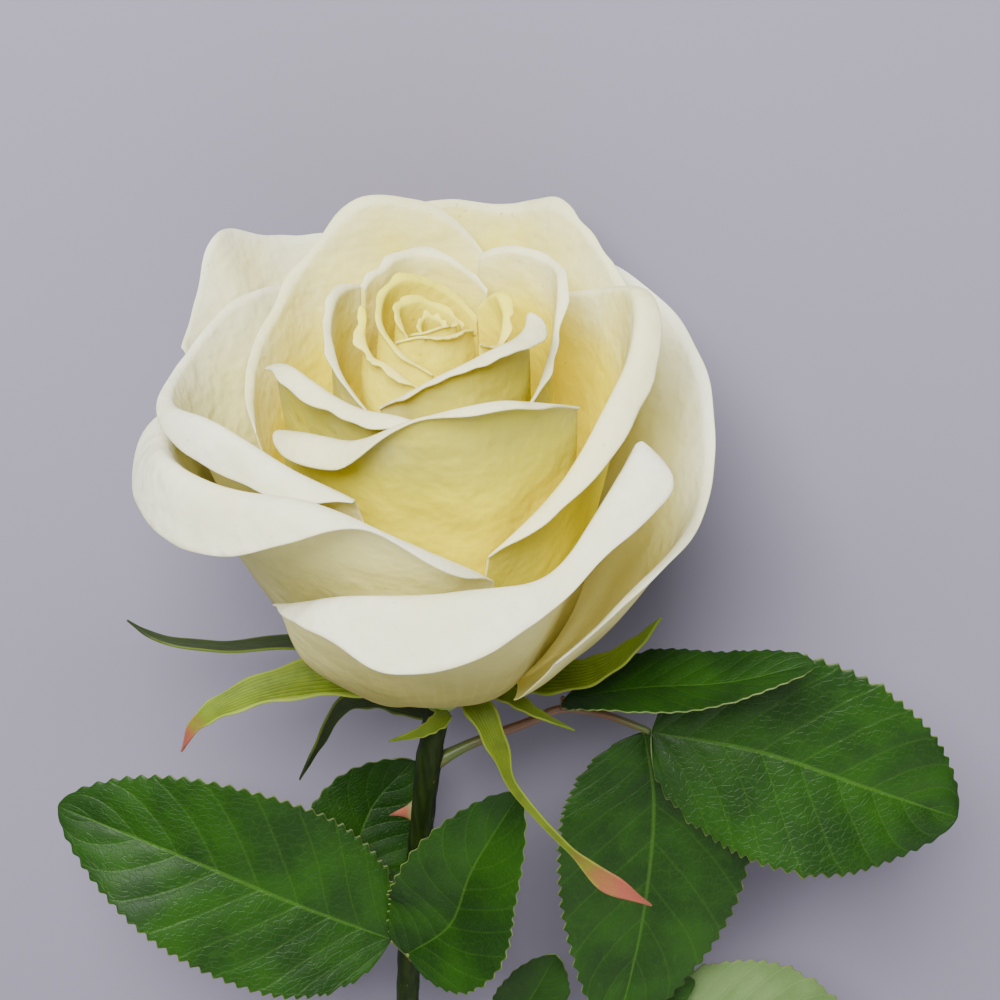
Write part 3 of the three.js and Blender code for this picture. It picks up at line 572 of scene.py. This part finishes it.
# ---- sepals and bracts ----
sepals = {
    "sepal_left_front": dict(
        route=[(-5.6, -4, 2.6), (-14.4, -2.6, 4.6), (-28, -2.6, 7.5), (-38.5, -5.4, 10),
               (-43.5, -8.6, 11.5), (-46.6, -14.6, 12)],
        facing=(-0.1, 0.8, 0.6), width=1.25, paint="sepal_red"),
    "sepal_left_back": dict(
        route=[(-4.8, -4.3, -3.8), (-14, -4.6, -6), (-26, -5.6, -8), (-42, -8.4, -10),
               (-53.9, -7.5, -12), (-59, -4.2, -13)],
        facing=(0, 0.9, 0.15), width=0.85, paint="sepal_dark"),
    "sepal_right": dict(
        route=[(5.6, -4.4, -0.8), (17, -7, 0), (27, -2.7, 4), (34.6, 5.2, 6), (38.8, 12.3, 7)],
        facing=(-0.3, 0.8, 0.6), width=1.15),
    "sepal_front": dict(
        route=[(3, -4, 5), (7, -6, 10), (10.2, -11, 14), (12.9, -18, 17), (21.5, -27.7, 21),
               (29.8, -35.7, 23), (38.5, -41.4, 24)],
        facing=(0.1, 0.35, 0.9), width=0.72, leafyTip=True, paint="sepal_red"),
    "sepal_right_front": dict(
        route=[(5, -4.8, 3), (11.6, -6.4, 5.6), (17, -8.7, 8), (24.3, -12.5, 8.6)],
        facing=(0.2, 0.8, 0.5), width=0.62),
    "bract_back": dict(
        route=[(-2.2, -16, -0.6), (-11, -17.4, -6.5), (-18.6, -21, -9), (-24.7, -34.4, -12),
               (-29, -44.6, -13)],
        facing=(0.5, 0.3, 0.8), width=0.85, paint="sepal_dark"),
    "bract_front": dict(
        route=[(1.4, -12.4, 3.8), (-3, -14.4, 6.4), (-9.8, -17.6, 6)],
        facing=(0, 0.5, 0.85), width=0.5),
}
sepalMake = {"width": 8.4, "thick": 0.55, "columns": 10, "rows": 44, "fold": 14, "wave": 0.14,
             "edgeWave": 0.1, "edgeWaves": 37}


def sepalOutline(v, leafyTip):
    body = (0.5 + 0.5 * ease(v / 0.18)) * (1 - v) ** 0.9
    if leafyTip:
        narrowed = body * (1 - 0.45 * ease((v - 0.3) / 0.2))
        tip = 0.62 * math.sin(math.pi * ease((v - 0.66) / 0.36)) ** 0.8
        body = max(narrowed, tip)
    return max(body, 0.03)


def addSepals(layDown, paints):
    for name, sepal in sepals.items():
        face = Vector(sepal["facing"]).normalized()

        def spotOf(x, v):
            heading = routeHeading(sepal["route"], v)
            right = heading.cross(face).normalized()
            up = right.cross(heading).normalized()
            half = sepalMake["width"] * sepal["width"] / 2 * sepalOutline(v, sepal.get("leafyTip"))
            phase = sepalMake["edgeWaves"] * v + (2 if x > 0 else 0)
            edge = 1 + sepalMake["edgeWave"] * abs(x) ** 4 * math.sin(phase)
            cup = math.tan(math.radians(sepalMake["fold"])) * abs(x) ** 1.6
            wave = sepalMake["wave"] * x * math.sin(9 * v)
            middle = routePoint(sepal["route"], v)
            return middle + right * (x * half * edge) + up * (half * (cup + wave))

        sheet = gridSheet(sepalMake["columns"], sepalMake["rows"], spotOf)
        finishPiece(f"{name}_blade", sheet, layDown, paints[sepal.get("paint", "sepal")],
                    [name], sepalMake["thick"], 1)


sepalLooks = {
    # the blade, its veins and margins, and the tip
    "sepal": ((0.12, 0.175, 0.001), (0.28, 0.34, 0.03), (0.12, 0.175, 0.001)),
    "sepal_red": ((0.12, 0.175, 0.001), (0.28, 0.34, 0.03), (0.28, 0.07, 0.04)),
    "sepal_dark": ((0.015, 0.03, 0.001), (0.12, 0.175, 0.001), (0.015, 0.03, 0.001)),
}


def sepalPaint(name, blade, pale, tip):
    paint = Paint(name)
    flat, u, v = paint.uv()
    spot = paint.place()
    side = (u * 2 - 1).maths("ABSOLUTE")
    mottle = paint.noise(spot, 260, 4)
    colour = paint.mix(mottle.rise(0.35, 0.7), blade, tuple(channel * 0.72 for channel in blade))
    drift = paint.noise(paint.stretched(flat, (3, 5, 0)), 2, 2)
    veins = ((u * 60 + drift * 5).maths("SINE") * 0.5 + 0.5) ** 4
    colour = paint.mix(veins * 0.08, colour, pale)
    colour = paint.mix(side.rise(0.78, 0.98) * 0.6, colour, pale)
    colour = paint.mix((v + mottle * 0.2).rise(0.80, 1.0), colour, tip)
    return paint.shade(Base_Color=colour, Roughness=0.6, Specular_IOR_Level=0.3, Subsurface_Weight=0.1,
                       Subsurface_Radius=(0.6, 1.0, 0.3), Subsurface_Scale=0.0015, Sheen_Weight=0.05,
                       Sheen_Roughness=0.4, Normal=paint.bump(veins * 0.6 + mottle * 0.5, 0.0002, 0.7))


# ---- leaves ----
leaves = {
    "leaf_right": dict(
        stalk=[(-1.6, -28, 0), (5.1, -24.9, -1.6), (16.4, -21, -3.6), (22, -19, -4.8),
               (29.5, -19.4, -4), (39, -21.5, -1.2)],
        leaflets={
            "leaf_right_end": dict(
                route=[(39, -21.5, -1.2), (59, -23.5, 2), (79.8, -30, 5), (97, -37, 5.5)],
                width=41, facing=(0, 0.42, 0.9), fold=6),
            "leaf_right_front": dict(
                route=[(37.8, -23.4, -3.2), (40, -38, 0), (38.5, -62, 7), (34, -88, 13)],
                width=38, facing=(0.1, 0.12, 0.98), fold=8),
            "leaf_right_back": dict(
                route=[(22.4, -15, -2.6), (36, -8.4, 2), (52, -4.5, 5), (67, 0, 5)],
                width=20, facing=(0, 0.99, -0.08), fold=10),
        }),
    "leaf_left": dict(
        stalk=[(-6.8, -79, 1.2), (-7.6, -73.5, 5.6), (-10.6, -67.8, 7.4)],
        leaflets={
            "leaf_left_end": dict(
                route=[(-10.6, -67.8, 7.4), (-28.3, -58.8, 7), (-50.9, -48.3, 4), (-74.8, -42, -3)],
                width=39, facing=(-0.1, 0.5, 0.86), fold=8),
            "leaf_left_front": dict(
                route=[(-7.6, -71, 8.4), (1, -60.5, 10.6), (5.6, -45, 11), (14.5, -28, 8)],
                width=26, facing=(-0.35, 0.3, 0.88), fold=22),
            "leaf_left_back": dict(
                route=[(-13.8, -69.8, 2.4), (-18.2, -62.2, -5.8), (-15.4, -53, -13.2),
                       (-6.6, -43.8, -18)],
                width=25, facing=(0.2, 0.42, 0.88), fold=6),
        }),
    "leaf_low": dict(
        stalk=[(-7.6, -116, 0), (8, -105, 3), (25, -98, 5), (43.3, -92.8, 6)],
        leaflets={
            "leaf_low_end": dict(
                route=[(43.3, -92.8, 6), (56, -93.5, 5.6), (70, -97, 4.4), (84, -104, 1)],
                width=27, facing=(0, -0.3, -0.95), fold=8),
            "leaf_low_up_1": dict(
                route=[(14.2, -100.4, 3.6), (16, -93, 2.5), (19, -86, 2), (22, -79, 1)],
                width=15, facing=(0, 0.25, 0.97), fold=8),
            "leaf_low_up_2": dict(
                route=[(32, -93.6, 6.6), (37.5, -88.6, 6.6), (43.5, -85, 6), (50, -82.6, 4.6)],
                width=12, facing=(0, 0.3, 0.95), fold=8),
            "leaf_low_down_1": dict(
                route=[(14.4, -104.4, 3.8), (18, -113, 5), (23, -123, 5), (28, -135, 2)],
                width=21, facing=(0, 0.1, 1), fold=8),
            "leaf_low_down_2": dict(
                route=[(31.4, -98.4, 5.6), (36, -107, 6.5), (42, -117, 6), (49, -129, 3)],
                width=21, facing=(0, 0.1, 1), fold=8),
        }),
}
leafMake = {"thick": 0.38, "columns": 28, "rowsPerTooth": 4, "teethPerMm": 0.42, "tooth": 2, "veins": 9,
            "veinSlant": 0.24, "quilt": 0.38, "wave": 0.9}
stalkMake = {"radius": 0.85, "foot": 1.25, "taper": 0.45, "footSwell": 0.9, "sides": 12, "rings": 36,
             "branch": 0.62, "branchTaper": 0.12, "branchSides": 8, "branchRings": 8, "least": 0.6}


def leafletSheet(leaflet, number):
    route = leaflet["route"]
    length = sum((Vector(b) - Vector(a)).length for a, b in zip(route, route[1:]))
    teeth = round(length * leafMake["teethPerMm"])
    face = Vector(leaflet["facing"]).normalized()
    lift = math.tan(math.radians(leaflet["fold"]))
    size = leaflet["width"] / 40

    def spotOf(x, v):
        heading = routeHeading(route, v)
        right = heading.cross(face).normalized()
        up = right.cross(heading).normalized()
        # round at the foot, drawn out towards the tip, with a slanting edge to every tooth
        outline = max(math.sin(math.pi * v ** 0.82) ** 0.6 if 0 < v < 1 else 0, 0.012)
        tooth = (v * teeth) % 1 - 0.5
        half = leaflet["width"] / 2 * outline
        half += leafMake["tooth"] * size * abs(x) ** 12 * tooth * ease(outline * 3)
        vein = abs(math.sin(math.pi * (v - leafMake["veinSlant"] * abs(x)) * leafMake["veins"])) ** 0.6
        flatten = (1 - abs(x) ** 5) * ease(abs(x) / 0.08) * ease(outline * 1.6)
        rise = lift * half * (math.sqrt(x * x + 0.0016) - 0.04) + leafMake["quilt"] * size * vein * flatten
        rise += leafMake["wave"] * size * x * x * math.sin(11 * v + 2.1 * number + (1.4 if x > 0 else 0))
        return routePoint(route, v) + right * (x * half) + up * rise

    return gridSheet(leafMake["columns"], teeth * leafMake["rowsPerTooth"], spotOf)


def stalkRadius(share):
    # thickest where it leaves the stem
    taper = stalkMake["foot"] - stalkMake["taper"] * share
    return stalkMake["radius"] * (taper + stalkMake["footSwell"] * (1 - share) ** 12)


def branchRadius(share):
    return stalkMake["branch"] - stalkMake["branchTaper"] * share


def addLeaves(layDown, paints):
    number = 0
    for leafName, leaf in leaves.items():
        bm = bmesh.new()
        growTube(bm, leaf["stalk"], stalkRadius, stalkMake["sides"], stalkMake["rings"])
        spots = [routePoint(leaf["stalk"], n / 60) for n in range(61)]
        for name, leaflet in leaf["leaflets"].items():
            foot = Vector(leaflet["route"][0])
            joint = min(spots, key=lambda spot: (spot - foot).length)
            if (joint - foot).length > stalkMake["least"]:
                branch = [joint, (joint + foot) / 2, foot + (foot - joint) * 0.4]
                growTube(bm, branch, branchRadius, stalkMake["branchSides"], stalkMake["branchRings"])
            finishPiece(f"{name}_blade", leafletSheet(leaflet, number), layDown, paints["leaf"],
                        [name], leafMake["thick"], 1)
            number += 1
        finishPiece(f"{leafName}_rachis", bm, layDown, paints["stalk"],
                    [f"{leafName}_stalk"], None, 1)


leafLooks = {
    "top": dict(dark=(0.005, 0.028, 0.0003), light=(0.012, 0.055, 0.0005), veinColour=(0.05, 0.13, 0.01),
                roughness=0.45, coat=0.02),
    "under": dict(dark=(0.09, 0.16, 0.045), light=(0.13, 0.21, 0.07), veinColour=(0.20, 0.28, 0.10),
                  roughness=0.62, coat=0),
}


def leafPaint(face, dark, light, veinColour, roughness, coat):
    paint = Paint(f"leaf_{face}")
    flat, u, v = paint.uv()
    spot = paint.place()
    side = (u * 2 - 1).maths("ABSOLUTE")
    mottle = paint.noise(spot, 90, 4)
    colour = paint.mix(mottle.rise(0.3, 0.72), dark, light)
    drift = paint.noise(spot, 45, 2)
    phase = (v - side * leafMake["veinSlant"]) * leafMake["veins"] + (drift - 0.5) * 0.35
    laterals = ((phase.maths("FRACT") - 0.5).maths("ABSOLUTE") * 2).rise(0.86, 1.0)
    midrib = 1 - side.rise(0.008, 0.03)
    net = paint.node("ShaderNodeTexVoronoi", {"feature": "DISTANCE_TO_EDGE"},
                     {"Vector": paint.stretched(flat, (1, 1.5, 1)), "Scale": 30})
    netting = 1 - net.rise(0.01, 0.09)
    colour = paint.mix(netting * 0.10, colour, veinColour)
    colour = paint.mix(laterals * 0.16, colour, veinColour)
    colour = paint.mix(midrib * 0.45, colour, veinColour)
    colour = paint.mix(side.rise(0.97, 1.0) * 0.2, colour, (0.22, 0.12, 0.04))
    relief = netting * -0.4 + laterals * -0.5 + midrib * -0.5 + mottle * 0.3
    return paint.shade(Base_Color=colour, Roughness=roughness, Coat_Weight=coat, Coat_Roughness=0.3,
                       Subsurface_Weight=0.06, Subsurface_Radius=(0.4, 1.0, 0.2), Subsurface_Scale=0.001,
                       Specular_IOR_Level=0.18, Normal=paint.bump(relief, 0.0002, 0.5))


# ---- stem and prickles ----
stem = {"route": [(-0.6, -13.2, 0), (-2.2, -24, 0), (-3.4, -34, 0), (-5, -51, 0), (-7, -73, 0),
                  (-8.4, -94, 0), (-8.6, -130, 0.3), (-6, -180, 0), (-1, -225, -0.2), (3, -262, 0)],
        "radius": 2.4, "sides": 28, "rings": 170, "nodes": (-28, -79, -116), "nodeSwell": 0.225,
        "nodeReach": 3.2, "slim": 0.97, "wave": 0.06, "cutSlant": 35}
# height along the stem, degrees round it from the front, length
prickles = [(-41, -95, 4.2), (-62, 80, 4.6), (-104, -60, 5.2), (-126, 70, 5.4), (-149, -80, 5.8),
            (-172, 55, 5.2), (-196, -50, 5.6), (-219, 75, 5.0)]
prickleMake = {"sides": 16, "cuts": 9, "tip": 0.06, "root": 0.4, "sunk": 0.62, "narrow": 0.62, "long": 1.9,
               "flare": 1.1, "hook": 0.34}


def stemCentre(height):
    spots = [routePoint(stem["route"], n / 400) for n in range(401)]
    return min(spots, key=lambda spot: abs(spot.y - height))


def addStem(layDown, paints):
    def radiusAt(share):
        height = routePoint(stem["route"], share).y
        swell = sum(math.exp(-((height - spot) / stem["nodeReach"]) ** 2) for spot in stem["nodes"])
        wave = stem["wave"] * math.sin(height * 0.9)
        return stem["radius"] * stem["slim"] + stem["nodeSwell"] * swell + wave

    bm = bmesh.new()
    growTube(bm, stem["route"], radiusAt, stem["sides"], stem["rings"])
    slant = math.radians(stem["cutSlant"])
    end = Vector(stem["route"][-1]) + Vector((0, stem["radius"] * math.tan(slant), 0))
    normal = Vector((0, -math.cos(slant), -math.sin(slant)))
    whole = bm.verts[:] + bm.edges[:] + bm.faces[:]
    cut = bmesh.ops.bisect_plane(bm, geom=whole, plane_co=end, plane_no=normal, clear_outer=True)
    edges = [item for item in cut["geom_cut"] if isinstance(item, bmesh.types.BMEdge)]
    bmesh.ops.holes_fill(bm, edges=edges, sides=0)
    finishPiece("stem_round", bm, layDown, [paints["stem"]], ["stem"], None, 0)
    for number, (height, turn, length) in enumerate(prickles):
        finishPiece(f"prickle_{number + 1}", prickleMesh(height, math.radians(turn), length), layDown,
                    [paints["prickle"]], ["stem"], None, 1)


def prickleMesh(height, angle, length):
    # a flattened cone, flared where it meets the stem and hooked towards the stem's lower end
    centre = stemCentre(height)
    outward = Vector((math.sin(angle), 0, math.cos(angle)))
    sideways = Vector((math.cos(angle), 0, -math.sin(angle)))
    tall = length + stem["radius"] * prickleMake["root"]
    bm = bmesh.new()
    bmesh.ops.create_cone(bm, cap_ends=True, segments=prickleMake["sides"], radius1=1,
                          radius2=prickleMake["tip"], depth=tall)
    bmesh.ops.translate(bm, vec=(0, 0, tall / 2), verts=bm.verts)
    sides = [edge for edge in bm.edges if abs(edge.verts[0].co.z - edge.verts[1].co.z) > 1]
    bmesh.ops.subdivide_edges(bm, edges=sides, cuts=prickleMake["cuts"])
    flat = bm.loops.layers.uv.new("along")
    for face in bm.faces:
        for loop in face.loops:
            loop[flat].uv = (0.5, loop.vert.co.z / tall)
    for vert in bm.verts:
        share = vert.co.z / tall
        flare = 1 + prickleMake["flare"] * (1 - share) ** 4
        side = vert.co.x * prickleMake["narrow"] * flare
        along = vert.co.y * prickleMake["long"] * flare - prickleMake["hook"] * share ** 2 * length
        out = vert.co.z + stem["radius"] * prickleMake["sunk"]
        vert.co = centre + outward * out + sideways * side + Vector((0, along, 0))
    bmesh.ops.recalc_face_normals(bm, faces=bm.faces)
    return bm


def stemPaint():
    paint = Paint("stem_green")
    spot = paint.place()
    streaks = paint.noise(paint.stretched(spot, (1, 0.12, 1)), 900, 3)
    patches = paint.noise(spot, 40, 3)
    # the stem's green is very dark: partly its own dark green and partly painted shade from the bloom
    # falling on it
    colour = paint.mix(streaks.rise(0.35, 0.7), (0.006, 0.014, 0.0003), (0.014, 0.030, 0.001))
    colour = paint.mix(patches.rise(0.55, 0.75) * 0.4, colour, (0.04, 0.03, 0.004))
    pores = paint.node("ShaderNodeTexVoronoi", None,
                       {"Vector": paint.stretched(spot, (1, 0.4, 1)), "Scale": 500})
    colour = paint.mix((1 - pores.rise(0.06, 0.14)) * 0.4, colour, (0.16, 0.17, 0.06))
    return paint.shade(Base_Color=colour, Roughness=0.55, Specular_IOR_Level=0.15, Subsurface_Weight=0.05,
                       Subsurface_Radius=(0.5, 1.0, 0.3), Subsurface_Scale=0.001,
                       Normal=paint.bump(streaks, 0.0002, 0.6))


def pricklePaint():
    paint = Paint("prickle_red")
    v = paint.uv()[2]
    grain = paint.noise(paint.place(), 700, 3)
    colour = paint.mix((v + grain * 0.2).rise(0.15, 0.5), (0.20, 0.24, 0.07), (0.32, 0.09, 0.05))
    colour = paint.mix(v.rise(0.6, 1.0), colour, (0.16, 0.05, 0.03))
    return paint.shade(Base_Color=colour, Roughness=0.35 + grain * 0.15,
                       Normal=paint.bump(grain, 0.0001, 0.5))


def hipPaint():
    paint = Paint("hip_green")
    grain = paint.noise(paint.place(), 350, 4)
    colour = paint.mix(grain.rise(0.3, 0.7), (0.16, 0.26, 0.05), (0.27, 0.36, 0.09))
    return paint.shade(Base_Color=colour, Roughness=0.5, Normal=paint.bump(grain, 0.0002, 0.5))


def stalkPaint():
    paint = Paint("stalk_brown")
    spot = paint.place()
    streaks = paint.noise(paint.stretched(spot, (0.5, 1, 1)), 600, 3)
    flush = paint.noise(spot, 60, 3)
    colour = paint.mix(flush.rise(0.38, 0.62), (0.07, 0.10, 0.012), (0.13, 0.055, 0.02))
    colour = paint.mix(streaks.rise(0.5, 0.8) * 0.3, colour, (0.20, 0.16, 0.05))
    return paint.shade(Base_Color=colour, Roughness=0.45, Normal=paint.bump(streaks, 0.0002, 0.5))


# ---- floor and lights ----
studio = {"floor": (0.235, 0.218, 0.280), "floorSize": 4, "floorDrop": 0.0002,
          "world": 0.43, "worldTint": (0.97, 0.97, 1.0)}
# name, place, power, size
lights = [("key", (-0.15, 0.75, 0.62), 22, 0.5), ("fill", (0.3, -0.6, 0.85), 5.5, 1.2)]


def addStudio():
    bm = bmesh.new()
    bmesh.ops.create_grid(bm, x_segments=1, y_segments=1, size=studio["floorSize"])
    mesh = bpy.data.meshes.new("floor")
    bm.to_mesh(mesh)
    bm.free()
    floor = bpy.data.objects.new("floor", mesh)
    bpy.context.scene.collection.objects.link(floor)
    floor.location.z = -studio["floorDrop"]
    paint = Paint("floor_pale")
    mesh.materials.append(paint.shade(Base_Color=studio["floor"], Roughness=0.9))
    for name, spot, power, size in lights:
        data = bpy.data.lights.new(name, "AREA")
        data.energy = power
        data.size = size
        light = bpy.data.objects.new(name, data)
        light.location = spot
        light.rotation_euler = Vector(spot).to_track_quat("Z", "Y").to_euler()
        bpy.context.scene.collection.objects.link(light)
    world = bpy.data.worlds.new("studio")
    world.use_nodes = True
    background = world.node_tree.nodes["Background"]
    background.inputs["Color"].default_value = (*studio["worldTint"], 1)
    background.inputs["Strength"].default_value = studio["world"]
    bpy.context.scene.world = world


layDown = layDownMatrix(len(petals))
addCamera(layDown)
addStudio()
print("camera and studio ready")

petalPaints = {group: [petalPaint(group, "out"), petalPaint(group, "in")] for group in petalLooks}
addPetals(layDown, petalPaints)
print("petals packed")

finishPiece("hip_round", hipMesh(len(petals)), layDown, [hipPaint()], ["hip"], None, 1)
sepalPaints = {name: [sepalPaint(f"{name}_{side}", *colours) for side in ("out", "in")]
               for name, colours in sepalLooks.items()}
addSepals(layDown, sepalPaints)
print("hip and sepals done")

leafPaints = {"leaf": [leafPaint(face, **look) for face, look in leafLooks.items()],
              "stalk": [stalkPaint()]}
addLeaves(layDown, leafPaints)
addStem(layDown, {"stem": stemPaint(), "prickle": pricklePaint()})
print("leaves and stem done")
